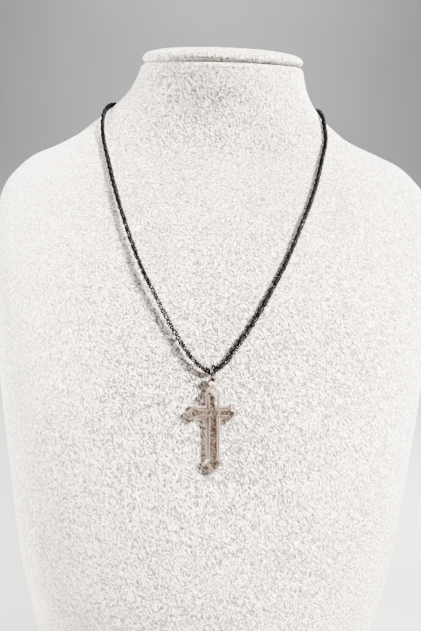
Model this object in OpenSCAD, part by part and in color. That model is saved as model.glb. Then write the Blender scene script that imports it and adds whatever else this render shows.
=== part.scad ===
// Clear bevelled cross on a black rope chain, worn by a plain velvet neck bust.
// Millimetres. X runs to the right, the front faces -Y, and Z is up. The origin
// lies on the ground, under the middle of the whole object.

/* [Bust] */
// Height of the bust at the middle of its neck, up to the seam under the cap
bust_h = 326; // [320:1:340]
// Forward lean of the neck's top and of its cap
neck_tilt = 15; // [14:0.5:16]
// Height of the padded cap that closes the neck
cap_h = 7.5; // [5:0.5:10]
// Height of the board under the bust
foot_h = 3; // [2:0.5:6]

/* [Chain] */
// Diameter of the rope chain
rope_d = 2.4; // [1.8:0.1:2.5]
// Diameter of the barrel clasp at the nape
clasp_d = 4.6; // [4.4:0.1:5]
// Length of the barrel clasp
clasp_l = 12.6; // [12.2:0.2:14]

/* [Jump ring] */
// Outer diameter of the jump ring
ring_od = 7; // [6.9:0.1:7.2]
// Thickness of its wire
ring_wire = 0.8; // [0.6:0.05:0.85]
// Turn of the ring away from edge-on
ring_turn = 15; // [5:1:20]

/* [Cross] */
// Height of the cross, tip to tip
cross_h = 34.9; // [32:0.1:36]
// Width of the cross, tip to tip
cross_w = 20.9; // [19:0.1:23]
// Distance from its top tip down to the middle of the cross bar
cross_up = 10.9; // [10.5:0.1:12]
// Width of the upright
upright_w = 5.7; // [5:0.1:6.2]
// Width of the cross bar
bar_w = 5.2; // [4.6:0.1:5.8]
// Thickness at the flat table
cross_t = 2.6; // [2.2:0.1:3]
// Thickness at the rim, under the bevel
rim_t = 1.6; // [1.2:0.1:1.8]
// Outer diameter of the hanging loop
loop_od = 4.5; // [4.2:0.1:4.8]
// Diameter of the loop's hole
loop_hole = 2.3; // [2.2:0.1:2.4]
// Angle of the cross from upright, lying back on the chest
cross_recline = 16.5; // [16:0.5:17]
// Sideways swing of the cross from plumb
cross_swing = 1.8; // [0:0.1:3]

/* [Hidden] */

VELVET = [0.86, 0.85, 0.83];
BLACK = [0.06, 0.06, 0.07];
GUNMETAL = [0.12, 0.12, 0.13];
CLEAR = [0.93, 0.90, 0.88, 0.35];

// The tables below are drawn for a bust of this height and scaled with it
DRAWN_H = 326;
k = bust_h / DRAWN_H;
gap = 0.3;

// Level sections of the bust, from the board up to the seam of the neck.
// height, half width, front, widest line, back, roundness, shift to the right
SECTIONS = [
    [foot_h / k, 98, -74, -8, 48, 2.30, 0],
    [ 30, 101, -81,   -8, 54, 2.30,  0],
    [ 70, 105, -86.5, -6, 61, 2.30,  0],
    [110, 108, -84,   -3, 68, 2.30,  0],
    [145, 112, -77,    1, 73, 2.30,  0],
    [170, 115, -68,    4, 76, 2.30,  0],
    [195, 118, -56,    8, 79, 2.30,  0],
    [220, 120, -41,   12, 81, 2.30,  0],
    [243, 120, -22,   17, 82, 2.30,  0],
    [256, 118, -10,   22, 82, 2.30,  0],
    [266, 112,   0,   27, 82, 2.25,  0],
    [273, 105,   6,   31, 82, 2.20,  0],
    [279,  93,   9,   34, 82, 2.18,  0],
    [286, 79.5, 10,   37, 82, 2.14, -1.8],
    [293, 70.5, 10,   39, 82, 2.10, -2.4],
    [302, 60.3,  8,   41, 82, 2.05, -1.6],
    [313,  51,   4,   41, 81, 2.00,  0.3],
    [326, 45.4,  0,   40, 80, 2.00,  1.6],
];
NECK = SECTIONS[len(SECTIONS) - 1];
RINGS_PER_SECTION = 3;
SIDES = 56;
LEAN_FROM = 262; // the sections begin to lean forward at this height
FOOT_INSET = 3;
FOOT_REACH = 5; // the board runs this far up into the bust

// Rounded edge at the top of the neck. drop below the seam, inset
NECK_EDGE = [[1.3, 0.0], [0.6, 0.25], [0.15, 0.75], [0.0, 1.4]];

// Padded cap. share of its height, inset from the neck's edge
CAP_EDGE = [
    [0.00, 1.4], [0.04, 0.8], [0.11, 0.3], [0.20,  0.1], [0.30,  0.0], [0.44,  0.5],
    [0.58, 1.9], [0.71, 4.4], [0.82, 8.4], [0.91, 14.5], [0.97, 22.5], [1.00, 34.0],
];

// Route of the chain from the clasp's right end, down the front and back up
ROUTE = [
    [3.6, 84.6, 310], [8.5, 84.4, 310], [21, 81.6, 309.8], [33.5, 76.6, 309.3], [44.5, 69.5, 308.8],
    [52.5, 60.8, 308], [57.3, 50.5, 306.3], [59.1, 40, 303.9], [58.7, 30, 299.6], [59, 24, 294],
    [59.3, 18.7, 287], [58.2, 14, 281], [55, 6, 271.5], [50.5, -6, 260.3], [45.5, -17, 249.5],
    [39, -28.5, 237], [32, -39.5, 223.5], [24.5, -48.5, 211], [17, -55.5, 199],
    [9.5, -61.5, 189], [4, -65.5, 182.5],
    [-0.5, -67, 180],
    [-5, -66.2, 181], [-10.5, -63.8, 185.6], [-17.9, -58.4, 195.2], [-25.3, -52.3, 206.8],
    [-32.8, -44.5, 218.7], [-39.7, -34, 231.6], [-45.6, -23.4, 243.5], [-51.2, -11.6, 255.4],
    [-56.8, 2.3, 267.9], [-60.8, 12, 277.5], [-63, 17.7, 285.5], [-64, 24.4, 294], [-63.4, 31.5, 299.8],
    [-62.6, 40, 303.4], [-60.4, 50.5, 305.9], [-54.5, 62.5, 307.7], [-46, 70.8, 308.5],
    [-34.5, 77.3, 309.3], [-21.5, 81.6, 309.9], [-8.5, 84.4, 310], [-3.6, 84.6, 310],
];
RINGS_PER_POINT = 2;
ROPE_SIDES = 8;
NECK_AXIS_Y = 28; // the chain goes round this upright line

// The clasp lies level across the nape, and takes the chain's ends in two blind sockets
CLASP_AT = [0, 84.6, 310];
SOCKET_DEPTH = 3;
socket_d = rope_d + 0.8;
NOSE = [0.45, 0.9]; // rounding of the clasp's ends: across, along

// The ring stands square to the chest, which leans back this much there
CHEST_LEAN = 25.5;
RING_AT = [-0.5, -67.9, 179.4];
ring_r = (ring_od - ring_wire) / 2;

// The loop hangs inside the bottom of the ring, clear of its wire by this play
LOOP_PLAY = 0.3;
LOOP_ABOVE_TIP = 1.4;
ring_room = ring_od / 2 - ring_wire - LOOP_PLAY;
hang = sqrt(pow(ring_room, 2) - pow(rim_t / 2, 2)) + loop_hole / 2;
loop_at = k * RING_AT - hang * [0, sin(cross_recline), cos(cross_recline)];

// Arms of the cross, counter-clockwise from the right one.
// reach, tip to corner, half width of the head, corner to arm
ARMS = [
    [cross_w / 2,        3.2, 3.65, 1.5],
    [cross_up,           3.2, 3.40, 1.4],
    [cross_w / 2,        3.2, 3.65, 1.5],
    [cross_h - cross_up, 4.2, 3.90, 1.8],
];
ARM_POINTS = 6;
// Width of the bevel at each place of an arm
BEVEL_TIP = 0.95;
BEVEL_HEAD = 0.7;
BEVEL_NECK = 0.3;
BEVEL_UPRIGHT = 1.2;
BEVEL_BAR = 1.4;

// Row of a table, carried on in a straight line past its ends
function row(t, i) =
    i < 0 ? 2 * t[0] - t[1] :
    i >= len(t) ? 2 * t[len(t) - 1] - t[len(t) - 2] :
    t[i];

// Smooth value of every column of a table between its rows
function smooth(t, u) =
    let (i = min(floor(u), len(t) - 2), f = u - i)
    let (a = row(t, i - 1), b = row(t, i), c = row(t, i + 1), d = row(t, i + 2))
    0.5 * (2 * b + (c - a) * f + (2 * a - 5 * b + 4 * c - d) * f * f
        + (3 * b - a - 3 * c + d) * f * f * f);

function unit(v) = v / norm(v);
function signed_pow(v, p) = sign(v) * pow(abs(v), p);
function lean(z) = neck_tilt * min(1, max(0, (z - LEAN_FROM) / (DRAWN_H - LEAN_FROM)));

// Oval ring of one section: inset all round, and lifted square to its own lean
function oval(s, inset = 0, lift = 0) = [
    for (j = [0 : SIDES - 1])
        let (c = cos(360 * j / SIDES), q = sin(360 * j / SIDES))
        let (half_depth = q < 0 ? s[3] - s[2] : s[4] - s[3], a = lean(s[0]))
        let (x = s[6] + (s[1] - inset) * signed_pow(c, 2 / s[5]))
        let (y = (half_depth - inset) * signed_pow(q, 2 / s[5]))
        k * [x, s[3] + y, s[0] + y * tan(a)] + lift * [0, -sin(a), cos(a)]
];

// Closed skin over a stack of rings, each counter-clockwise seen from above.
// ends lists the convex faces, as places in a ring, that close it below and above.
module skin(rings, ends) {
    n = len(rings[0]);
    top = n * (len(rings) - 1);
    polyhedron(
        points = [for (ring = rings) each ring],
        faces = concat(
            ends,
            [for (a = [0 : n : top - n], j = [0 : n - 1])
                let (low = a + j, low_next = a + (j + 1) % n)
                each [[low, low + n, low_next + n], [low, low_next + n, low_next]]],
            [for (face = ends) [for (j = [len(face) - 1 : -1 : 0]) top + face[j]]]
        ),
        convexity = 6
    );
}
function whole(n) = [[for (j = [0 : n - 1]) j]];

module bust_form() {
    last_loft = RINGS_PER_SECTION * (len(SECTIONS) - 1) - 1;
    loft = [for (i = [0 : last_loft]) oval(smooth(SECTIONS, i / RINGS_PER_SECTION))];
    edge = [for (e = NECK_EDGE) oval(NECK, e[1], -e[0])];
    board = [for (p = oval(SECTIONS[0], FOOT_INSET)) [p[0], p[1]]];
    color(VELVET) {
        skin(concat(loft, edge), whole(SIDES));
        linear_extrude(foot_h + FOOT_REACH) polygon(board);
    }
}

module neck_cap() {
    color(VELVET)
        skin([for (e = CAP_EDGE) oval(NECK, e[1], gap + e[0] * cap_h)], whole(SIDES));
}

// Ring of the rope, square to the route at u
function rope_ring(u) =
    let (end = len(ROUTE) - 1, p = k * smooth(ROUTE, u))
    let (ahead = unit(smooth(ROUTE, min(u + 0.05, end)) - smooth(ROUTE, max(u - 0.05, 0))))
    let (out = p - [0, k * NECK_AXIS_Y, p[2]], side = unit(out - (out * ahead) * ahead))
    let (up = cross(ahead, side))
    [for (j = [0 : ROPE_SIDES - 1])
        let (a = 360 * j / ROPE_SIDES)
        p + rope_d / 2 * (cos(a) * side + sin(a) * up)];

module rope_chain() {
    last = RINGS_PER_POINT * (len(ROUTE) - 1);
    color(BLACK)
        skin([for (i = [0 : last]) rope_ring(i / RINGS_PER_POINT)], whole(ROPE_SIDES));
}

module barrel_clasp() {
    half = clasp_l / 2;
    one_end = [
        for (a = [0 : 15 : 90])
            [clasp_d / 2 - NOSE[0] * (1 - cos(a)), half - NOSE[1] * (1 - sin(a))],
        [socket_d / 2, half],
        [socket_d / 2, half - SOCKET_DEPTH],
        [0, half - SOCKET_DEPTH],
    ];
    other_end = [for (i = [len(one_end) - 1 : -1 : 0]) [one_end[i][0], -one_end[i][1]]];
    color(GUNMETAL)
        translate(k * CLASP_AT) rotate([0, 90, 0])
            rotate_extrude($fn = 48) polygon(concat(one_end, other_end));
}

module jump_ring() {
    color(GUNMETAL)
        translate(k * RING_AT) rotate([-CHEST_LEAN, 0, 0]) rotate([0, 90, -ring_turn])
            rotate_extrude($fn = 64) translate([ring_r, 0]) circle(d = ring_wire, $fn = 24);
}

// Point turned by i quarter turns
function turned(p, i) = i == 0 ? p : turned([-p[1], p[0]], i - 1);

// Outline of the cross at height z: share 0 is the rim, share 1 the edge of the table.
// Each arm gives five points round its head and the inner corner after it.
function half_width(i, share) =
    i % 2 == 1 ? upright_w / 2 - share * BEVEL_UPRIGHT : bar_w / 2 - share * BEVEL_BAR;
function arm(i, share) =
    let (a = ARMS[i], tip = a[0] - share * BEVEL_TIP, corner = a[0] - a[1])
    let (head = a[2] - share * BEVEL_HEAD, start = corner - a[3] + share * BEVEL_NECK)
    let (half = half_width(i, share), next = half_width(i + 1, share))
    [for (p = [[start, -half], [corner, -head], [tip, 0], [corner, head], [start, half], [next, half]])
        turned(p, i)];
function outline(share, z) =
    [for (i = [0 : len(ARMS) - 1]) each [for (p = arm(i, share)) [p[0], p[1], z]]];

module cross_pendant() {
    n = len(ARMS) * ARM_POINTS;
    starts = [0 : ARM_POINTS : n - 1];
    flats = [
        [for (a = starts) a + 5],
        for (a = starts) [for (j = [0 : 4]) a + j],
        for (a = starts) [(a + n - 1) % n, a, a + 4, a + 5],
    ];
    top_tip = cross_up + LOOP_ABOVE_TIP;
    color(CLEAR)
        translate(loop_at) rotate([90 - cross_recline, 0, 0]) rotate([0, 0, cross_swing])
            translate([0, -top_tip, -rim_t / 2])
                difference() {
                    union() {
                        skin([outline(0, 0), outline(0, rim_t), outline(1, cross_t)], flats);
                        translate([0, top_tip, 0]) cylinder(d = loop_od, h = rim_t, $fn = 48);
                    }
                    translate([0, top_tip, -1]) cylinder(d = loop_hole, h = rim_t + 2, $fn = 48);
                }
}

bust_form();
neck_cap();
rope_chain();
barrel_clasp();
jump_ring();
cross_pendant();
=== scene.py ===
"""Clear bevelled cross on a black rope chain, worn by a velvet neck bust.

Laid out as an add-on: settings, one operator for each piece, and a panel that lists them.
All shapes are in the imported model's frame, in metres: X to the right, the front at -Y, Z up.
"""
import math

import bmesh
import bpy
from mathutils import Matrix, Vector


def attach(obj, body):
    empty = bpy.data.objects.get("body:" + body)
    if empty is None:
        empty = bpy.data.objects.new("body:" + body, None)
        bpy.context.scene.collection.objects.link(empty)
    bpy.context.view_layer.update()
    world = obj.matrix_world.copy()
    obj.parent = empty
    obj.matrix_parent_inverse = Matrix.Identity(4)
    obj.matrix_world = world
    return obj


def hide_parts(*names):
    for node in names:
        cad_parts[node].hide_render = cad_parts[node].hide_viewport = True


bl_info = {
    "name": "Cross Necklace on a Neck Bust",
    "version": (1, 0, 0),
    "blender": (4, 5, 0),
    "location": "3D Viewport > Sidebar > Necklace",
    "description": "Builds a clear cross on a black rope chain, worn by a velvet neck bust",
    "category": "Add Mesh",
}

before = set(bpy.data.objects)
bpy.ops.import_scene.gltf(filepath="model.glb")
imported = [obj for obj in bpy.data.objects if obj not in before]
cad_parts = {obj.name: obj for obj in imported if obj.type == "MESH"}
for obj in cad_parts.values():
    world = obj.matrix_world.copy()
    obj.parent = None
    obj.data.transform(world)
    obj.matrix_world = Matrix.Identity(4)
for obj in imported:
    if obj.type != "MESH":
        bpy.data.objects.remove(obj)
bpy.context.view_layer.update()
BODY = "root"
MM = 0.001
FULL_TURN = 2 * math.pi

# Shapes that the CAD part gives, in millimetres and degrees

BUST_HEIGHT = 326
NECK_TILT = 15
LEAN_FROM = 262
CAP_HEIGHT = 7.5
SEAM_GAP = 0.3
BOARD_INSET = 3
BOARD_IN_COVER = 0.8

# Level sections of the bust, from the board up to the seam of the neck:
# height, half width, front, widest line, back, roundness, shift to the right
SECTIONS = [
    (3, 98, -74, -8, 48, 2.30, 0),
    (30, 101, -81, -8, 54, 2.30, 0),
    (70, 105, -86.5, -6, 61, 2.30, 0),
    (110, 108, -84, -3, 68, 2.30, 0),
    (145, 112, -77, 1, 73, 2.30, 0),
    (170, 115, -68, 4, 76, 2.30, 0),
    (195, 118, -56, 8, 79, 2.30, 0),
    (220, 120, -41, 12, 81, 2.30, 0),
    (243, 120, -22, 17, 82, 2.30, 0),
    (256, 118, -10, 22, 82, 2.30, 0),
    (266, 112, 0, 27, 82, 2.25, 0),
    (273, 105, 6, 31, 82, 2.20, 0),
    (279, 93, 9, 34, 82, 2.18, 0),
    (286, 79.5, 10, 37, 82, 2.14, -1.8),
    (293, 70.5, 10, 39, 82, 2.10, -2.4),
    (302, 60.3, 8, 41, 82, 2.05, -1.6),
    (313, 51, 4, 41, 81, 2.00, 0.3),
    (326, 45.4, 0, 40, 80, 2.00, 1.6),
]
NECK = SECTIONS[-1]

# Rolled edge of the cover round the board: inset, lift
FOOT_EDGE = [(2.4, 0.0), (1.2, -0.5), (0.4, -0.2)]

# Rolled edge of the neck's cover: drop below the seam, inset
NECK_EDGE = [(1.9, 0.0), (1.2, 0.12), (0.6, 0.45), (0.2, 1.0), (0.0, 2.2)]

# Padded cap: share of its height, inset from the neck's edge
CAP_EDGE = [
    (0.00, 2.2), (0.04, 1.2), (0.11, 0.55), (0.20, 0.15), (0.30, 0.0), (0.44, 0.5),
    (0.58, 1.9), (0.71, 4.4), (0.82, 8.4), (0.91, 14.5), (0.97, 22.5), (1.00, 34.0),
]

# Last rings of the cap, as shares of the way out from its middle
CAP_MIDDLE = (0.7, 0.4, 0.1)

# Route of the chain from the clasp's right end, down the front and back up
ROUTE = [
    (3.6, 84.6, 310), (8.5, 84.4, 310), (21, 81.6, 309.8), (33.5, 76.6, 309.3), (44.5, 69.5, 308.8),
    (52.5, 60.8, 308), (57.3, 50.5, 306.3), (59.1, 40, 303.9), (58.7, 30, 299.6), (59, 24, 294),
    (59.3, 18.7, 287), (58.2, 14, 281), (55, 6, 271.5), (50.5, -6, 260.3), (45.5, -17, 249.5),
    (39, -28.5, 237), (32, -39.5, 223.5), (24.5, -48.5, 211), (17, -55.5, 199),
    (9.5, -61.5, 189), (4, -65.5, 182.5),
    (-0.5, -67, 180),
    (-5, -66.2, 181), (-10.5, -63.8, 185.6), (-17.9, -58.4, 195.2), (-25.3, -52.3, 206.8),
    (-32.8, -44.5, 218.7), (-39.7, -34, 231.6), (-45.6, -23.4, 243.5), (-51.2, -11.6, 255.4),
    (-56.8, 2.3, 267.9), (-60.8, 12, 277.5), (-63, 17.7, 285.5), (-64, 24.4, 294), (-63.4, 31.5, 299.8),
    (-62.6, 40, 303.4), (-60.4, 50.5, 305.9), (-54.5, 62.5, 307.7), (-46, 70.8, 308.5),
    (-34.5, 77.3, 309.3), (-21.5, 81.6, 309.9), (-8.5, 84.4, 310), (-3.6, 84.6, 310),
]

# Length at each end of the route that no link's middle reaches
ROPE_END = 1.1

CLASP_AT = Vector((0, 84.6, 310))
CLASP_LENGTH = 12.6

# One end of the clasp, from its socket out and back to its middle: radius, distance from the end
CLASP_END = [
    (0, 3), (1.6, 3), (1.6, 0.12), (1.68, 0.02), (1.8, 0), (2.06, 0.12), (2.22, 0.4),
    (2.3, 0.9), (2.3, 1.45), (2.2, 1.55), (2.2, 1.75), (2.3, 1.85),
    (2.3, 2.3), (2.2, 2.4), (2.2, 2.6), (2.3, 2.7), (2.3, 6.18), (2.24, 6.25),
]

RING_AT = Vector((-0.5, -67.9, 179.4))
RING_RADIUS = 3.1
RING_TURN = 15
BUTT_AT = 200
CHEST_LEAN = 25.5

CROSS_UP = 10.9
CROSS_RECLINE = 16.5
CROSS_SWING = 1.8
TABLE_AT = 2.6
RIM = 1.6
LOOP_ABOVE_TIP = 1.4
LOOP_UP = CROSS_UP + LOOP_ABOVE_TIP
LOOP_RADIUS = 2.25
LOOP_HOLE_RADIUS = 1.15

# Radius that the loop has inside the ring, and how far its middle hangs below the ring's
RING_ROOM = 2.4
HANG = math.sqrt(RING_ROOM**2 - (RIM / 2) ** 2) + LOOP_HOLE_RADIUS

# Arms of the cross, counter-clockwise from the right one:
# reach, tip to corner, half width of the head, corner to arm
ARMS = [
    (10.45, 3.2, 3.65, 1.5),
    (CROSS_UP, 3.2, 3.40, 1.4),
    (10.45, 3.2, 3.65, 1.5),
    (24, 4.2, 3.90, 1.8),
]
HALF_UPRIGHT = 2.85
HALF_BAR = 2.6
BEVEL_TIP = 0.95
BEVEL_HEAD = 0.7
BEVEL_NECK = 0.3
BEVEL_UPRIGHT = 1.2
BEVEL_BAR = 1.4

# The inner line of the bevel is a painted highlight up to this share of the bevel's height
HIGHLIGHT_UP_TO = 0.45

# Velvet pile: lean of its strokes in degrees, their stretch along the axes, how far they waver in
# metres, tufts of fuzz and patches per metre, and what each adds to the tone
STROKE_LEAN = 57
STROKE_STRETCH = (0.85, 0.5, 0.42)
WAVER = 0.004
FUZZ_PER_METRE = 1400.0
PATCHES_PER_METRE = 16.0
STROKE_SHARE, FUZZ_SHARE, PATCH_SHARE = 0.6, 0.45, 0.16

# Painted shade and light on the velvet: the tone is darker near the middle line, lighter up the neck and most
# on its right, and darkest on faces turned down, as under the cap's edge: distances and heights in metres,
# heights of a face's normal, and powers that darken the tone
MIDDLE_FROM, MIDDLE_TO = 0.02, 0.08
NECK_FROM, NECK_TO = 0.27, 0.315
NECK_SLANT = 0.6
UNDER_FROM, UNDER_TO = -0.85, -0.35
MIDDLE_SHADE_POWER, SIDE_SHADE_POWER = 2.4, 0.9
UNDERSIDE_SHADE_POWER = 3.4

# Places of the cross's finishes in its mesh, after the clear one: painted highlight lines, painted shade
# lines, and bevels darkened with painted shade
PAINTED_HIGHLIGHT_LINE = 1
PAINTED_SHADE_LINE = 2
PAINTED_SHADE_BEVEL = 3

# The photograph's frame, which the camera is set for
VIEW_FROM = Vector((-4.6, -229.1, 240.9))
VIEW_PITCH = 13.1
VIEW_YAW = 0.8
VIEW_ROLL = 1.8
LENS = 24.02
SENSOR_WIDTH = 36

# Backdrop, in metres
PAPER_HALF_WIDTH = 2.2
PAPER_FRONT = -1.6
PAPER_BACK = 1.5
PAPER_TOP = 2.2
PAPER_CURVE = 0.9

# Lights: place, target and size in metres, colour, spread in degrees
CHEST = (0, -0.06, 0.2)
LIGHTS = {
    "key": ((0.79, -0.522, 0.816), CHEST, 0.22, (1.0, 0.95, 0.90), 60),
    "side": ((-1.05, 0.18, 0.4), CHEST, 0.5, (1.0, 0.97, 0.94), 70),
    "wall": ((0, 0.6, 1.5), (0, 1.25, 0.3), 0.8, (0.84, 0.92, 1.0), 150),
}
ROOM_COLOR = (1.0, 0.86, 0.74, 1)


# Settings

class BustSettings(bpy.types.PropertyGroup):
    """Velvet cover of the bust and its cap"""
    sides: bpy.props.IntProperty(
        name="Sides", description="Faces round the bust", default=168, min=24, max=256)
    rings_per_section: bpy.props.IntProperty(
        name="Rings", description="Rings of faces between two level sections", default=8, min=1, max=16)
    velvet_color: bpy.props.FloatVectorProperty(
        name="Velvet", description="Colour of the raised pile", subtype="COLOR",
        default=(0.90, 0.83, 0.75), min=0, max=1)
    shade_color: bpy.props.FloatVectorProperty(
        name="Velvet Shade", description="Colour between the tufts of pile", subtype="COLOR",
        default=(0.055, 0.045, 0.037), min=0, max=1)
    tuft: bpy.props.FloatProperty(
        name="Tuft", description="Length of one stroke of the pile", unit="LENGTH",
        default=0.0019, min=0.0002)
    pile_depth: bpy.props.FloatProperty(
        name="Pile Depth", description="Height of the pile's relief", unit="LENGTH",
        default=0.0018, min=0)


class ChainSettings(bpy.types.PropertyGroup):
    """Interlocking wire links of the rope chain"""
    link_radius: bpy.props.FloatProperty(
        name="Link Radius", description="From a link's middle to the middle of its wire", unit="LENGTH",
        default=0.00091, min=0.0001)
    wire: bpy.props.FloatProperty(
        name="Wire", description="Thickness of a link's wire", unit="LENGTH",
        default=0.00043, min=0.0001)
    step: bpy.props.FloatProperty(
        name="Step", description="Distance along the rope from one link to the next", unit="LENGTH",
        default=0.00048, min=0.0002)
    half_twist: bpy.props.FloatProperty(
        name="Half Twist", description="Length of rope in which the links turn half round it", unit="LENGTH",
        default=0.0051, min=0.001)
    offset: bpy.props.FloatProperty(
        name="Offset", description="From the rope's middle to a link's middle", unit="LENGTH",
        default=0.00025, min=0)
    tilt: bpy.props.FloatProperty(
        name="Tilt", description="Lean of each link along the rope", subtype="ANGLE",
        default=math.radians(32))
    color: bpy.props.FloatVectorProperty(
        name="Black", description="Colour of the chain's plating", subtype="COLOR",
        default=(0.009, 0.009, 0.0095), min=0, max=1)


class FindingsSettings(bpy.types.PropertyGroup):
    """Jump ring and barrel clasp"""
    ring_wire: bpy.props.FloatProperty(
        name="Ring Wire", description="Thickness of the jump ring's wire", unit="LENGTH",
        default=0.0008, min=0.0002)
    butt_gap: bpy.props.FloatProperty(
        name="Butt", description="Width of the cut where the ring closes", unit="LENGTH",
        default=0.00008, min=0)
    color: bpy.props.FloatVectorProperty(
        name="Gunmetal", description="Colour of the ring and the clasp", subtype="COLOR",
        default=(0.02, 0.0185, 0.0185), min=0, max=1)


class CrossSettings(bpy.types.PropertyGroup):
    """Clear acrylic cross"""
    softened: bpy.props.FloatProperty(
        name="Softened Edge", description="Rounding of the moulded edges", unit="LENGTH",
        default=0.00028, min=0)
    # Width of the painted highlight line along the table
    painted_highlight_width: bpy.props.FloatProperty(
        name="Pale Line", description="Width of the pale line along the table", unit="LENGTH",
        default=0.00025, min=0)
    # Width of the painted shade lines along the bevel, and of the painted highlight line inside the outer one
    painted_bevel_line_width: bpy.props.FloatProperty(
        name="Bevel Line", description="Width of the lines along both sides of the bevel", unit="LENGTH",
        default=0.00034, min=0)
    tint: bpy.props.FloatVectorProperty(
        name="Tint", description="Colour of the clear acrylic", subtype="COLOR",
        default=(0.88, 0.83, 0.77), min=0, max=1)
    # Colour of the painted highlight lines along the cross's edges
    painted_highlight_tint: bpy.props.FloatVectorProperty(
        name="Pale Edge", description="Colour of the edges that catch the light", subtype="COLOR",
        default=(0.17, 0.116, 0.096), min=0, max=1)
    # Colour of the bevels, darkened with painted shade
    painted_bevel_tint: bpy.props.FloatVectorProperty(
        name="Bevel Tint", description="Colour of the acrylic seen through the bevels", subtype="COLOR",
        default=(0.055, 0.036, 0.028), min=0, max=1)
    # Colour of the painted shade lines along the cross's edges
    painted_shade_tint: bpy.props.FloatVectorProperty(
        name="Deep Edge", description="Colour of the edges that turn the light away", subtype="COLOR",
        default=(0.012, 0.008, 0.006), min=0, max=1)
    shadow: bpy.props.FloatVectorProperty(
        name="Shadow Tint", description="Light that goes through into the cross's shadow", subtype="COLOR",
        default=(0.03, 0.02, 0.015), min=0, max=1)


class StageSettings(bpy.types.PropertyGroup):
    """Backdrop, lights and camera"""
    paper_color: bpy.props.FloatVectorProperty(
        name="Paper", description="Colour of the pale backdrop", subtype="COLOR",
        default=(0.325, 0.315, 0.3), min=0, max=1)
    key_power: bpy.props.FloatProperty(
        name="Key", description="Power of the soft light high at the right", default=36.5, min=0)
    side_power: bpy.props.FloatProperty(
        name="Side", description="Power of the wide soft light far at the left", default=46.0, min=0)
    wall_power: bpy.props.FloatProperty(
        name="Wall", description="Power of the soft light above the backdrop", default=27.0, min=0)
    room_light: bpy.props.FloatProperty(
        name="Room", description="Brightness of the light from all round", default=0.38, min=0)


# Meshes

def smooth(table, u):
    """Row of a table at u rows from its start, with every column on a smooth curve through the rows."""
    i = min(int(u), len(table) - 2)
    f = u - i
    before = table[i - 1] if i > 0 else [2 * p - q for p, q in zip(table[0], table[1])]
    after = table[i + 2] if i + 2 < len(table) else [2 * p - q for p, q in zip(table[-1], table[-2])]
    return [
        0.5 * (2 * b + (c - a) * f + (2 * a - 5 * b + 4 * c - d) * f * f + (3 * b - a - 3 * c + d) * f**3)
        for a, b, c, d in zip(before, table[i], table[i + 1], after)
    ]


def place_ring(ring, points):
    """Moves a ring's vertices to these points, given in millimetres."""
    for vert, point in zip(ring, points):
        vert.co = Vector(point) * MM


def first_ring(bm, points):
    """Ring of vertices and edges, without a face, at these points."""
    ring = bmesh.ops.create_circle(bm, segments=len(points), radius=1)["verts"]
    place_ring(ring, points)
    return ring


def ring_edges(bm, ring):
    """Edges of a ring, in the order of its vertices."""
    return [bm.edges.get((vert, ring[(i + 1) % len(ring)])) for i, vert in enumerate(ring)]


def next_ring(bm, ring, points):
    """Extrudes a ring's edges and places the new ring at these points."""
    made = bmesh.ops.extrude_edge_only(bm, edges=ring_edges(bm, ring))["geom"]
    new = {item for item in made if isinstance(item, bmesh.types.BMVert)}
    above = []
    for vert in ring:
        above.append(next(edge.other_vert(vert) for edge in vert.link_edges if edge.other_vert(vert) in new))
    place_ring(above, points)
    return above


def loft(bm, rings):
    """Closed skin over a stack of rings of points."""
    first = ring = first_ring(bm, rings[0])
    for points in rings[1:]:
        ring = next_ring(bm, ring, points)
    for end in (first, ring):
        bmesh.ops.contextual_create(bm, geom=ring_edges(bm, end))
    bmesh.ops.recalc_face_normals(bm, faces=bm.faces)


def draw_line(bm, points):
    """Line of vertices at these points, each joined to the one before."""
    line = [bm.verts.new(points[0])]
    for point in points[1:]:
        made = bmesh.ops.extrude_vert_indiv(bm, verts=line[-1:])["verts"]
        made[0].co = point
        line += made
    return line


def lathe(bm, profile, steps, place):
    """Turns a profile of (radius, along) pairs, in millimetres, round the X axis, and places it."""
    line = draw_line(bm, [(along * MM, 0, radius * MM) for radius, along in profile])
    bmesh.ops.spin(bm, geom=line + bm.edges[:], axis=(1, 0, 0), cent=(0, 0, 0),
                   angle=FULL_TURN, steps=steps, use_merge=True)
    bmesh.ops.remove_doubles(bm, verts=bm.verts, dist=1e-7)
    bmesh.ops.recalc_face_normals(bm, faces=bm.faces)
    bmesh.ops.transform(bm, matrix=place, verts=bm.verts)


def torus(bm, radius, wire, steps, wire_sides, angle=FULL_TURN):
    """Ring of wire in the XY plane, whole or with a cut."""
    across = Matrix.Translation((radius, 0, 0)) @ Matrix.Rotation(math.pi / 2, 4, "X")
    bmesh.ops.create_circle(bm, segments=wire_sides, radius=wire / 2, matrix=across)
    whole = angle == FULL_TURN
    bmesh.ops.spin(bm, geom=bm.verts[:] + bm.edges[:], axis=(0, 0, 1), cent=(0, 0, 0),
                   angle=angle, steps=steps, use_merge=whole)
    if not whole:
        bmesh.ops.holes_fill(bm, edges=[edge for edge in bm.edges if edge.is_boundary])
    bmesh.ops.recalc_face_normals(bm, faces=bm.faces)


def finished_mesh(bm, name, finishes=()):
    """Smooth mesh with its materials, made from a bmesh that is freed."""
    mesh = bpy.data.meshes.new(name)
    bm.to_mesh(mesh)
    bm.free()
    mesh.polygons.foreach_set("use_smooth", [True] * len(mesh.polygons))
    for material in finishes:
        mesh.materials.append(material)
    return mesh


def add_object(name, data):
    """New object in the scene."""
    made = bpy.data.objects.new(name, data)
    bpy.context.scene.collection.objects.link(made)
    return made


def finished_piece(bm, name, finishes, node, sharp):
    """Object, sharp above an angle in degrees. It stands for the CAD node and rides on the body."""
    mesh = finished_mesh(bm, name, finishes)
    mesh.set_sharp_from_angle(angle=math.radians(sharp))
    piece = add_object(name, mesh)
    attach(piece, BODY)
    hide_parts(node)
    return piece


# Materials

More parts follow.
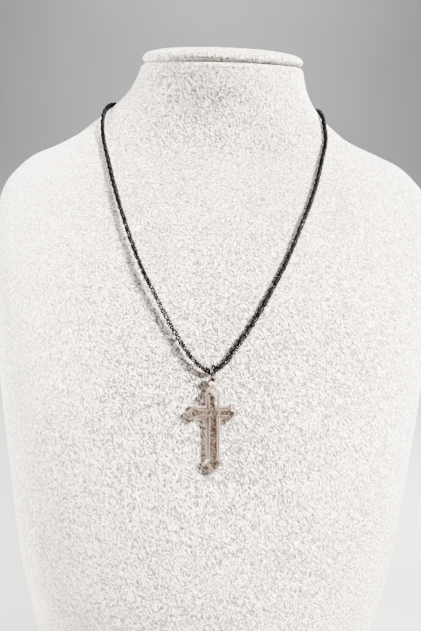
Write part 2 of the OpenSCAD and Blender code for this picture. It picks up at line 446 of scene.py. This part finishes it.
def add_node(tree, kind, inputs=None, **settings):
    """Shader node with its settings, and its inputs linked or set."""
    node = tree.nodes.new(kind)
    for name, value in settings.items():
        setattr(node, name, value)
    for name, value in (inputs or {}).items():
        if isinstance(value, bpy.types.NodeSocket):
            tree.links.new(value, node.inputs[name])
        else:
            node.inputs[name].default_value = value
    return node


def math_node(tree, operation, a, b=0.0):
    """Result of an operation on one or two values."""
    return add_node(tree, "ShaderNodeMath", {0: a, 1: b}, operation=operation).outputs[0]


def vector_node(tree, operation, inputs):
    """Result of an operation on vectors."""
    return add_node(tree, "ShaderNodeVectorMath", inputs, operation=operation).outputs[0]


def remap(tree, value, low, high, to_low=0.0, to_high=1.0):
    """Value carried from one range to another, and kept within it."""
    return add_node(tree, "ShaderNodeMapRange", {
        "Value": value, "From Min": low, "From Max": high, "To Min": to_low, "To Max": to_high,
    }).outputs["Result"]


def mix_color(tree, factor, a, b):
    """Colour between a and b, each given as a socket or as its parts."""
    node = add_node(tree, "ShaderNodeMix", data_type="RGBA")
    for socket, value in ((node.inputs[0], factor), (node.inputs[6], a), (node.inputs[7], b)):
        if isinstance(value, bpy.types.NodeSocket):
            tree.links.new(value, socket)
        elif socket.type == "RGBA":
            socket.default_value = (*value[:3], 1)
        else:
            socket.default_value = value
    return node.outputs[2]


def noise(tree, vector, scale, detail, roughness=0.5, distortion=0.0, result="Fac"):
    """Noise over a vector, as one number, or as three in the result Color."""
    return add_node(tree, "ShaderNodeTexNoise", {
        "Vector": vector, "Scale": scale, "Detail": detail, "Roughness": roughness, "Distortion": distortion,
    }).outputs[result]


def add_relief(tree, shader, height, distance, strength):
    """Fine relief on a shader's surface, from a height and its distance in metres."""
    relief = add_node(tree, "ShaderNodeBump", {"Height": height, "Distance": distance, "Strength": strength})
    tree.links.new(relief.outputs[0], shader.inputs["Normal"])


def new_group(name, inputs, outputs):
    """Node group with its two ends. An input is a vector where it has no default, or else a number."""
    group = bpy.data.node_groups.new(name, "ShaderNodeTree")
    for socket, default in inputs.items():
        kind = "NodeSocketVector" if default is None else "NodeSocketFloat"
        made = group.interface.new_socket(socket, in_out="INPUT", socket_type=kind)
        if default is not None:
            made.default_value = default
    for socket in outputs:
        group.interface.new_socket(socket, in_out="OUTPUT", socket_type="NodeSocketFloat")
    return group, group.nodes.new("NodeGroupInput").outputs, group.nodes.new("NodeGroupOutput").inputs


def soft_mottle_group():
    """Large soft patches, such as uneven cloth or paper has."""
    name = "soft_mottle"
    if name in bpy.data.node_groups:
        return bpy.data.node_groups[name]
    group, source, result = new_group(name, {"Vector": None, "Patches per Metre": 14.0}, ["Patches"])
    patches = noise(group, source["Vector"], source["Patches per Metre"], detail=2.5, distortion=0.4)
    group.links.new(remap(group, patches, 0.32, 0.68), result["Patches"])
    return group


def plating_group():
    """Fine unevenness of a plated black metal: dull patches and a faint ripple."""
    name = "black_plating"
    if name in bpy.data.node_groups:
        return bpy.data.node_groups[name]
    inputs = {"Vector": None, "Dullest": 0.4, "Glossiest": 0.15}
    group, source, result = new_group(name, inputs, ["Roughness", "Ripple"])
    patches = noise(group, source["Vector"], 420.0, detail=3.0, roughness=0.6)
    ripple = noise(group, source["Vector"], 2600.0, detail=2.0)
    rough = remap(group, patches, 0.3, 0.7, source["Glossiest"], source["Dullest"])
    group.links.new(rough, result["Roughness"])
    group.links.new(ripple, result["Ripple"])
    return group


def use_group(tree, group, inputs):
    """Outputs of a node group that is put into the tree."""
    return add_node(tree, "ShaderNodeGroup", inputs, node_tree=group).outputs


def new_material(name, **surface):
    """Material with one Principled shader, its tree and the object's own coordinates."""
    material = bpy.data.materials.new(name)
    material.use_nodes = True
    tree = material.node_tree
    shader = next(node for node in tree.nodes if node.type == "BSDF_PRINCIPLED")
    for socket, value in surface.items():
        shader.inputs[socket.replace("_", " ")].default_value = value
    where = add_node(tree, "ShaderNodeTexCoord").outputs["Object"]
    return material, tree, shader, where


def velvet_material(settings):
    """Short pale pile, brushed into small wavering strokes."""
    name = "velvet_pile"
    if name in bpy.data.materials:
        return bpy.data.materials[name]
    material, tree, shader, where = new_material(
        name, Roughness=0.95, Specular_IOR_Level=0.1, Sheen_Weight=0.5, Sheen_Roughness=0.4)
    # The strokes lean one way, and waver
    bend = noise(tree, where, 160.0, detail=1.0, result="Color")
    bend = vector_node(tree, "SUBTRACT", {0: bend, 1: (0.5, 0.5, 0.5)})
    bend = vector_node(tree, "SCALE", {0: bend, "Scale": WAVER})
    brushed = add_node(tree, "ShaderNodeMapping", {
        "Vector": vector_node(tree, "ADD", {0: where, 1: bend}),
        "Rotation": (0.0, math.radians(STROKE_LEAN), 0.0), "Scale": STROKE_STRETCH,
    }, vector_type="TEXTURE").outputs[0]
    strokes = noise(tree, brushed, 1 / settings.tuft, detail=1.5, roughness=0.6, distortion=0.5)
    strokes = remap(tree, strokes, 0.43, 0.56)
    fuzz = noise(tree, where, FUZZ_PER_METRE, detail=1.5, roughness=0.6)
    fuzz = remap(tree, fuzz, 0.39, 0.61)
    mottle = use_group(tree, soft_mottle_group(), {"Vector": where, "Patches per Metre": PATCHES_PER_METRE})
    strokes = math_node(tree, "MULTIPLY", strokes, STROKE_SHARE)
    fuzz = math_node(tree, "MULTIPLY", fuzz, FUZZ_SHARE)
    patches = math_node(tree, "MULTIPLY", mottle["Patches"], PATCH_SHARE)
    pile = math_node(tree, "ADD", strokes, fuzz)
    tone = math_node(tree, "ADD", pile, patches)
    # Painted shade: the tone darkens near the middle line and on faces turned down, and painted light eases
    # it up the neck and to the right
    place = add_node(tree, "ShaderNodeSeparateXYZ", {"Vector": where}).outputs
    upward = math_node(tree, "ADD", place["Z"], math_node(tree, "MULTIPLY", place["X"], NECK_SLANT))
    painted_neck_light = remap(tree, upward, NECK_FROM, NECK_TO, 0.0, MIDDLE_TO)
    away = math_node(tree, "MAXIMUM", math_node(tree, "ABSOLUTE", place["X"]), painted_neck_light)
    painted_shade = remap(tree, away, MIDDLE_FROM, MIDDLE_TO, MIDDLE_SHADE_POWER, SIDE_SHADE_POWER)
    facing = add_node(tree, "ShaderNodeTexCoord").outputs["Normal"]
    upward_face = add_node(tree, "ShaderNodeSeparateXYZ", {"Vector": facing}).outputs["Z"]
    painted_underside_shade = remap(tree, upward_face, UNDER_FROM, UNDER_TO, UNDERSIDE_SHADE_POWER, 0.0)
    painted_shade = math_node(tree, "ADD", painted_shade, painted_underside_shade)
    tone = math_node(tree, "POWER", remap(tree, tone, 0.1, 1.0), painted_shade)
    color = mix_color(tree, tone, settings.shade_color, settings.velvet_color)
    tree.links.new(color, shader.inputs["Base Color"])
    add_relief(tree, shader, pile, settings.pile_depth, strength=1.0)
    return material


def plated_material(name, color, dullest, glossiest, gloss):
    """Black plated metal. The gloss is what is left of its shine at the edges."""
    material, tree, shader, where = new_material(
        name, Metallic=1.0, Specular_Tint=(gloss, gloss, gloss, 1))
    plating = use_group(tree, plating_group(), {"Vector": where, "Dullest": dullest, "Glossiest": glossiest})
    worn = mix_color(tree, plating["Ripple"], [0.6 * c for c in color], [1.5 * c for c in color])
    tree.links.new(worn, shader.inputs["Base Color"])
    tree.links.new(plating["Roughness"], shader.inputs["Roughness"])
    add_relief(tree, shader, plating["Ripple"], distance=0.00003, strength=0.5)
    return material


def acrylic_material(name, tint, shadow, roughness, clearness):
    """Moulded acrylic. Lamps shine through it, as much as its shadow's tint says."""
    material, tree, shader, where = new_material(
        name, Transmission_Weight=clearness, IOR=1.49, Roughness=roughness)
    swirl = noise(tree, where, 160.0, detail=2.0)
    color = mix_color(tree, swirl, tint, [0.93 * c for c in tint])
    tree.links.new(color, shader.inputs["Base Color"])
    add_relief(tree, shader, swirl, distance=0.0001, strength=0.2)
    clear = add_node(tree, "ShaderNodeBsdfTransparent", {"Color": (*shadow, 1)})
    lamp = add_node(tree, "ShaderNodeLightPath").outputs["Is Shadow Ray"]
    both = add_node(tree, "ShaderNodeMixShader", {0: lamp, 1: shader.outputs[0], 2: clear.outputs[0]})
    output = next(node for node in tree.nodes if node.type == "OUTPUT_MATERIAL")
    tree.links.new(both.outputs[0], output.inputs["Surface"])
    return material


def paper_material(settings):
    """Matt paper, a little uneven in tone."""
    material, tree, shader, where = new_material("pale_paper", Roughness=0.9, Specular_IOR_Level=0.2)
    patches = use_group(tree, soft_mottle_group(), {"Vector": where, "Patches per Metre": 3.0})["Patches"]
    color = mix_color(tree, patches, [0.94 * c for c in settings.paper_color], settings.paper_color)
    tree.links.new(color, shader.inputs["Base Color"])
    return material


# Pieces

def signed_power(value, power):
    """Power of a value's size, with the value's sign."""
    return math.copysign(abs(value) ** power, value)


def oval(section, sides, inset=0.0, lift=0.0):
    """Points of one section of the bust: inset all round, and lifted square to its own lean."""
    z, half_width, front, widest, back, roundness, shift = section
    lean = math.radians(NECK_TILT * min(1, max(0, (z - LEAN_FROM) / (BUST_HEIGHT - LEAN_FROM))))
    up = lift * Vector((0, -math.sin(lean), math.cos(lean)))
    points = []
    for j in range(sides):
        c, s = math.cos(FULL_TURN * j / sides), math.sin(FULL_TURN * j / sides)
        half_depth = widest - front if s < 0 else back - widest
        x = shift + (half_width - inset) * signed_power(c, 2 / roundness)
        y = (half_depth - inset) * signed_power(s, 2 / roundness)
        points.append(Vector((x, widest + y, z + y * math.tan(lean))) + up)
    return points


class NECKLACE_OT_bust(bpy.types.Operator):
    """Velvet-covered neck and chest, on a plain board"""
    bl_idname = "necklace.bust"
    bl_label = "Velvet Bust"

    def execute(self, context):
        settings = context.scene.necklace_bust
        per_section, sides = settings.rings_per_section, settings.sides
        bm = bmesh.new()
        board = oval(SECTIONS[0], sides, BOARD_INSET)
        rings = [[(p[0], p[1], height) for p in board] for height in (0, SECTIONS[0][0] + BOARD_IN_COVER)]
        rings += [oval(SECTIONS[0], sides, inset, lift) for inset, lift in FOOT_EDGE]
        levels = range(per_section * (len(SECTIONS) - 1))
        rings += [oval(smooth(SECTIONS, level / per_section), sides) for level in levels]
        rings += [oval(NECK, sides, inset, -drop) for drop, inset in NECK_EDGE]
        loft(bm, rings)
        velvet = velvet_material(settings)
        piece = finished_piece(bm, "velvet_bust", [velvet], "bust_form", sharp=60)
        return {"FINISHED"}


class NECKLACE_OT_cap(bpy.types.Operator):
    """Padded velvet cap that closes the neck"""
    bl_idname = "necklace.cap"
    bl_label = "Neck Cap"
    rings_per_row = 3

    def execute(self, context):
        settings = context.scene.necklace_bust
        bm = bmesh.new()
        last = self.rings_per_row * (len(CAP_EDGE) - 1)
        edge = [smooth(CAP_EDGE, i / self.rings_per_row) for i in range(last + 1)]
        rings = [oval(NECK, settings.sides, inset, SEAM_GAP + share * CAP_HEIGHT) for share, inset in edge]
        middle = sum(rings[-1], Vector()) / settings.sides
        rings += [[middle.lerp(p, share) for p in rings[-1]] for share in CAP_MIDDLE]
        loft(bm, rings)
        velvet = velvet_material(settings)
        piece = finished_piece(bm, "velvet_cap", [velvet], "neck_cap", sharp=60)
        return {"FINISHED"}


def rope_frames(step):
    """Places along the route, each a step apart, with two directions across it that don't twist."""
    per_row = 40
    line = [Vector(smooth(ROUTE, i / per_row)) * MM for i in range(per_row * (len(ROUTE) - 1) + 1)]
    lengths = [0.0]
    for a, b in zip(line, line[1:]):
        lengths.append(lengths[-1] + (b - a).length)
    count = int((lengths[-1] - 2 * ROPE_END * MM) / step) + 1
    start = (lengths[-1] - (count - 1) * step) / 2
    across = Vector((0, 1, 0))
    i, frames = 0, []
    for n in range(count):
        here = start + n * step
        while lengths[i + 1] < here:
            i += 1
        share = (here - lengths[i]) / (lengths[i + 1] - lengths[i])
        before, after = line[max(i - 3, 0)], line[min(i + 4, len(line) - 1)]
        along = (after - before).normalized()
        across = (across - across.dot(along) * along).normalized()
        frames.append((line[i].lerp(line[i + 1], share), across.copy(), along.cross(across), along))
    return frames


class NECKLACE_OT_rope(bpy.types.Operator):
    """Black rope chain of small wire links, each through the next"""
    bl_idname = "necklace.rope"
    bl_label = "Rope Chain"
    link_sides = 13
    wire_sides = 5

    def execute(self, context):
        settings = context.scene.necklace_chain
        link = bmesh.new()
        torus(link, settings.link_radius, settings.wire, self.link_sides, self.wire_sides)
        template = finished_mesh(link, "link")
        rope = bmesh.new()
        for i, (point, across, beside, along) in enumerate(rope_frames(settings.step)):
            turn = math.pi * (i % 2 - i * settings.step / settings.half_twist)
            out = math.cos(turn) * across + math.sin(turn) * beside
            side = along.cross(out)
            leaning = math.cos(settings.tilt) * side + math.sin(settings.tilt) * along
            place = Matrix((out, leaning, out.cross(leaning))).transposed().to_4x4()
            place.translation = point + settings.offset * out
            one = template.copy()
            one.transform(place)
            rope.from_mesh(one)
            bpy.data.meshes.remove(one)
        bpy.data.meshes.remove(template)
        metal = plated_material("rope_plating", settings.color, dullest=0.38, glossiest=0.22, gloss=0.05)
        finished_piece(rope, "rope_links", [metal], "rope_chain", sharp=180)
        return {"FINISHED"}


class NECKLACE_OT_findings(bpy.types.Operator):
    """Black jump ring that carries the cross, and the barrel clasp at the nape"""
    bl_idname = "necklace.findings"
    bl_label = "Ring and Clasp"
    ring_steps = 72
    ring_wire_sides = 20
    clasp_sides = 56

    def execute(self, context):
        settings = context.scene.necklace_findings
        metal = plated_material("finding_plating", settings.color, dullest=0.42, glossiest=0.24, gloss=0.08)
        ring = bmesh.new()
        angle = FULL_TURN - settings.butt_gap / (RING_RADIUS * MM)
        torus(ring, RING_RADIUS * MM, settings.ring_wire, self.ring_steps, self.ring_wire_sides, angle)
        lean = Matrix.Rotation(math.radians(-CHEST_LEAN), 4, "X")
        turn = Matrix.Rotation(math.radians(-RING_TURN), 4, "Z") @ Matrix.Rotation(math.radians(90), 4, "Y")
        spun = Matrix.Rotation(math.radians(BUTT_AT), 4, "Z")
        place = Matrix.Translation(RING_AT * MM) @ lean @ turn @ spun
        bmesh.ops.transform(ring, matrix=place, verts=ring.verts)
        finished_piece(ring, "split_jump_ring", [metal], "jump_ring", sharp=50)

        one_end = [(radius, CLASP_LENGTH / 2 - along) for radius, along in CLASP_END]
        other_end = [(radius, -along) for radius, along in reversed(one_end)]
        clasp = bmesh.new()
        lathe(clasp, one_end + other_end, self.clasp_sides, Matrix.Translation(CLASP_AT * MM))
        finished_piece(clasp, "barrel_clasp_turned", [metal], "barrel_clasp", sharp=40)
        return {"FINISHED"}


def cross_outline(share, z):
    """Outline of the cross at height z, in millimetres: share 0 is the rim, share 1 the edge of the table."""
    points = []
    for i, (reach, slope, head, neck) in enumerate(ARMS):
        halves = (HALF_BAR - share * BEVEL_BAR, HALF_UPRIGHT - share * BEVEL_UPRIGHT)
        half, after = halves[i % 2], halves[(i + 1) % 2]
        tip, corner, wide = reach - share * BEVEL_TIP, reach - slope, head - share * BEVEL_HEAD
        start = corner - neck + share * BEVEL_NECK
        turn = Matrix.Rotation(i * math.pi / 2, 3, "Z")
        arm = [(start, -half), (corner, -wide), (tip, 0), (corner, wide), (start, half), (after, half)]
        points += [turn @ Vector((x, y, z)) for x, y in arm]
    return points


class NECKLACE_OT_cross(bpy.types.Operator):
    """Clear bevelled cross with its own loop"""
    bl_idname = "necklace.cross"
    bl_label = "Clear Cross"
    loop_sides = 72

    def cut(self, piece, other, operation):
        """Joins another mesh to the piece, or takes it away, and keeps the result in the piece's mesh."""
        modifier = piece.modifiers.new(operation, "BOOLEAN")
        modifier.operation = operation
        modifier.solver = "EXACT"
        modifier.object = other
        result = bpy.data.meshes.new_from_object(piece.evaluated_get(bpy.context.evaluated_depsgraph_get()))
        piece.modifiers.clear()
        piece.data = result
        bpy.data.objects.remove(other)

    def helper(self, bm, name):
        """Object that holds a mesh only for a boolean step."""
        return add_object(name, finished_mesh(bm, name, self.finishes))

    def disc(self, radius, low, high, softened=0.0):
        """Disc at the loop's place between two heights, with its rims softened and marked: painted highlight
        where they face up or down, painted shade elsewhere.
        """
        bm = bmesh.new()
        place = Matrix.Translation(Vector((0, LOOP_UP, (low + high) / 2)) * MM)
        bmesh.ops.create_cone(bm, cap_ends=True, segments=self.loop_sides, radius1=radius * MM,
                              radius2=radius * MM, depth=(high - low) * MM, matrix=place)
        if softened:
            rims = [edge for edge in bm.edges if edge.calc_face_angle() > math.radians(60)]
            rounded = bmesh.ops.bevel(bm, geom=rims, offset=2 * softened, segments=2, profile=0.5,
                                      affect="EDGES", material=-1)
            for face in rounded["faces"]:
                face.material_index = PAINTED_HIGHLIGHT_LINE if abs(face.normal.z) > 0.7 else PAINTED_SHADE_LINE
        return bm

    def shaped(self, settings):
        """Cross with its bevels, lying on its back, and its edges marked with painted highlight and painted
        shade lines.
        """
        bm = bmesh.new()
        loft(bm, [cross_outline(0, 0), cross_outline(0, RIM), cross_outline(1, TABLE_AT)])
        table = [face for face in bm.faces if face.normal.z > 0.99]
        bevels = [face for face in bm.faces if 0.05 < face.normal.z <= 0.99]
        rim = [edge for edge in bm.edges if all(abs(vert.co.z - RIM * MM) < 1e-6 for vert in edge.verts)]
        # The bevels get a finish darkened with painted shade
        for face in bevels:
            face.material_index = PAINTED_SHADE_BEVEL
        for face in bmesh.ops.inset_region(bm, faces=table, thickness=settings.painted_highlight_width)["faces"]:
            face.material_index = PAINTED_HIGHLIGHT_LINE
        # A painted shade line runs along both sides of the bevel, and a painted highlight line inside the
        # outer of them
        highlight_below = (RIM + HIGHLIGHT_UP_TO * (TABLE_AT - RIM)) * MM
        for face in bmesh.ops.inset_region(bm, faces=bevels, thickness=settings.painted_bevel_line_width)["faces"]:
            face.material_index = PAINTED_SHADE_LINE
        for face in bmesh.ops.inset_region(bm, faces=bevels, thickness=settings.painted_bevel_line_width)["faces"]:
            if face.calc_center_median().z < highlight_below:
                face.material_index = PAINTED_HIGHLIGHT_LINE
        rounded = bmesh.ops.bevel(bm, geom=rim, offset=settings.softened, segments=2, profile=0.5,
                                  affect="EDGES", clamp_overlap=True, material=-1)
        # The softened rim is marked as a painted highlight
        for face in rounded["faces"]:
            face.material_index = PAINTED_HIGHLIGHT_LINE
        return bm

    def execute(self, context):
        settings = context.scene.necklace_cross
        # Name, tint, roughness, clearness: first the clear one, then the painted highlight, painted shade and
        # painted bevel shade finishes, in that order
        looks = (
            ("clear_moulding", settings.tint, 0.12, 1.0),
            ("pale_moulded_edge", settings.painted_highlight_tint, 0.3, 0.15),
            ("deep_moulded_edge", settings.painted_shade_tint, 0.25, 0.08),
            ("clear_bevel", settings.painted_bevel_tint, 0.2, 0.35),
        )
        self.finishes = [
            acrylic_material(name, tint, settings.shadow, roughness, clearness)
            for name, tint, roughness, clearness in looks
        ]
        cross = self.helper(self.shaped(settings), "shaped_cross")
        self.cut(cross, self.helper(self.disc(LOOP_RADIUS, 0, RIM, settings.softened), "loop"), "UNION")
        self.cut(cross, self.helper(self.disc(LOOP_HOLE_RADIUS, -1, RIM + 1), "hole"), "DIFFERENCE")
        bm = bmesh.new()
        bm.from_mesh(cross.data)
        bpy.data.objects.remove(cross)
        bmesh.ops.remove_doubles(bm, verts=bm.verts, dist=2e-6)

        recline = math.radians(CROSS_RECLINE)
        loop_at = RING_AT - HANG * Vector((0, math.sin(recline), math.cos(recline)))
        swing = Matrix.Rotation(math.radians(CROSS_SWING), 4, "Z")
        lie = Matrix.Rotation(math.pi / 2 - recline, 4, "X") @ swing
        drop = Matrix.Translation(Vector((0, -LOOP_UP, -RIM / 2)) * MM)
        bmesh.ops.transform(bm, matrix=Matrix.Translation(loop_at * MM) @ lie @ drop, verts=bm.verts)
        bmesh.ops.recalc_face_normals(bm, faces=bm.faces)
        finished_piece(bm, "clear_cross", self.finishes, "cross_pendant", sharp=24)
        return {"FINISHED"}


# Stage

def area_light(name, place, target, size, power, color, spread):
    """Square soft light at a place, turned to face its target, with a spread in degrees."""
    data = bpy.data.lights.new(name, "AREA")
    data.size, data.energy, data.color, data.spread = size, power, color, math.radians(spread)
    light = add_object(name, data)
    light.location = place
    light.rotation_euler = (Vector(target) - Vector(place)).to_track_quat("-Z", "Y").to_euler()


class NECKLACE_OT_stage(bpy.types.Operator):
    """Pale floor that curves up into a backdrop, soft lights and the camera"""
    bl_idname = "necklace.stage"
    bl_label = "Stage"
    curve_steps = 24

    def backdrop(self, settings):
        """Paper that lies in front, curves up and stands behind."""
        curve_from = PAPER_BACK - PAPER_CURVE
        angles = [math.pi / 2 * i / self.curve_steps for i in range(1, self.curve_steps + 1)]
        profile = [(PAPER_FRONT, 0.0), (curve_from, 0.0)]
        profile += [(curve_from + PAPER_CURVE * math.sin(a), PAPER_CURVE * (1 - math.cos(a))) for a in angles]
        profile += [(PAPER_BACK, PAPER_TOP)]
        bm = bmesh.new()
        draw_line(bm, [(-PAPER_HALF_WIDTH, y, z) for y, z in profile])
        swept = bmesh.ops.extrude_edge_only(bm, edges=bm.edges[:])["geom"]
        moved = [item for item in swept if isinstance(item, bmesh.types.BMVert)]
        bmesh.ops.translate(bm, vec=(2 * PAPER_HALF_WIDTH, 0, 0), verts=moved)
        bmesh.ops.recalc_face_normals(bm, faces=bm.faces)
        backdrop = add_object("backdrop", finished_mesh(bm, "backdrop", [paper_material(settings)]))

    def lights(self, scene, settings):
        """Light from all round, and the three soft lights."""
        scene.world = bpy.data.worlds.new("room")
        scene.world.use_nodes = True
        room = next(node for node in scene.world.node_tree.nodes if node.type == "BACKGROUND")
        room.inputs["Color"].default_value = ROOM_COLOR
        room.inputs["Strength"].default_value = settings.room_light
        powers = {"key": settings.key_power, "side": settings.side_power, "wall": settings.wall_power}
        for name, (place, target, size, color, spread) in LIGHTS.items():
            area_light(name, place, target, size, powers[name], color, spread)

    def camera(self, scene):
        """Camera that sees the necklace as the photograph shows it."""
        pitch, yaw, roll = (math.radians(a) for a in (VIEW_PITCH, VIEW_YAW, VIEW_ROLL))
        forward = Vector((math.sin(yaw) * math.cos(pitch), math.cos(yaw) * math.cos(pitch), -math.sin(pitch)))
        level = Vector((math.cos(yaw), -math.sin(yaw), 0))
        upright = level.cross(forward)
        right = math.cos(roll) * level + math.sin(roll) * upright
        place = Matrix((right, right.cross(forward), -forward)).transposed().to_4x4()
        place.translation = VIEW_FROM * MM
        data = bpy.data.cameras.new("photo_camera")
        data.lens, data.sensor_width, data.sensor_fit = LENS, SENSOR_WIDTH, "AUTO"
        data.clip_start, data.clip_end = 0.01, 20
        scene.camera = add_object("photo_camera", data)
        scene.camera.matrix_world = place

    def execute(self, context):
        settings = context.scene.necklace_stage
        self.backdrop(settings)
        self.lights(context.scene, settings)
        self.camera(context.scene)
        return {"FINISHED"}


class NECKLACE_PT_pieces(bpy.types.Panel):
    """Lists the pieces and what can be changed in them"""
    bl_label = "Cross Necklace"
    bl_space_type = "VIEW_3D"
    bl_region_type = "UI"
    bl_category = "Necklace"

    def draw(self, context):
        scene = context.scene
        for settings, operators in (
            (scene.necklace_bust, ("necklace.bust", "necklace.cap")),
            (scene.necklace_chain, ("necklace.rope",)),
            (scene.necklace_findings, ("necklace.findings",)),
            (scene.necklace_cross, ("necklace.cross",)),
            (scene.necklace_stage, ("necklace.stage",)),
        ):
            box = self.layout.box()
            for name in settings.bl_rna.properties.keys():
                if name not in ("rna_type", "name"):
                    box.prop(settings, name)
            for operator in operators:
                box.operator(operator)


SETTINGS = {
    "necklace_bust": BustSettings,
    "necklace_chain": ChainSettings,
    "necklace_findings": FindingsSettings,
    "necklace_cross": CrossSettings,
    "necklace_stage": StageSettings,
}
OPERATORS = (
    NECKLACE_OT_bust, NECKLACE_OT_cap, NECKLACE_OT_rope, NECKLACE_OT_findings, NECKLACE_OT_cross,
    NECKLACE_OT_stage,
)


def register():
    for group in SETTINGS.values():
        bpy.utils.register_class(group)
    for name, group in SETTINGS.items():
        setattr(bpy.types.Scene, name, bpy.props.PointerProperty(type=group))
    for made in (*OPERATORS, NECKLACE_PT_pieces):
        bpy.utils.register_class(made)


def unregister():
    for made in (NECKLACE_PT_pieces, *reversed(OPERATORS)):
        bpy.utils.unregister_class(made)
    for name in SETTINGS:
        delattr(bpy.types.Scene, name)
    for group in reversed(SETTINGS.values()):
        bpy.utils.unregister_class(group)


def main():
    register()
    bpy.ops.necklace.bust()
    bpy.ops.necklace.cap()
    bpy.ops.necklace.rope()
    bpy.ops.necklace.findings()
    bpy.ops.necklace.cross()
    bpy.ops.necklace.stage()


if __name__ == "__main__":
    main()
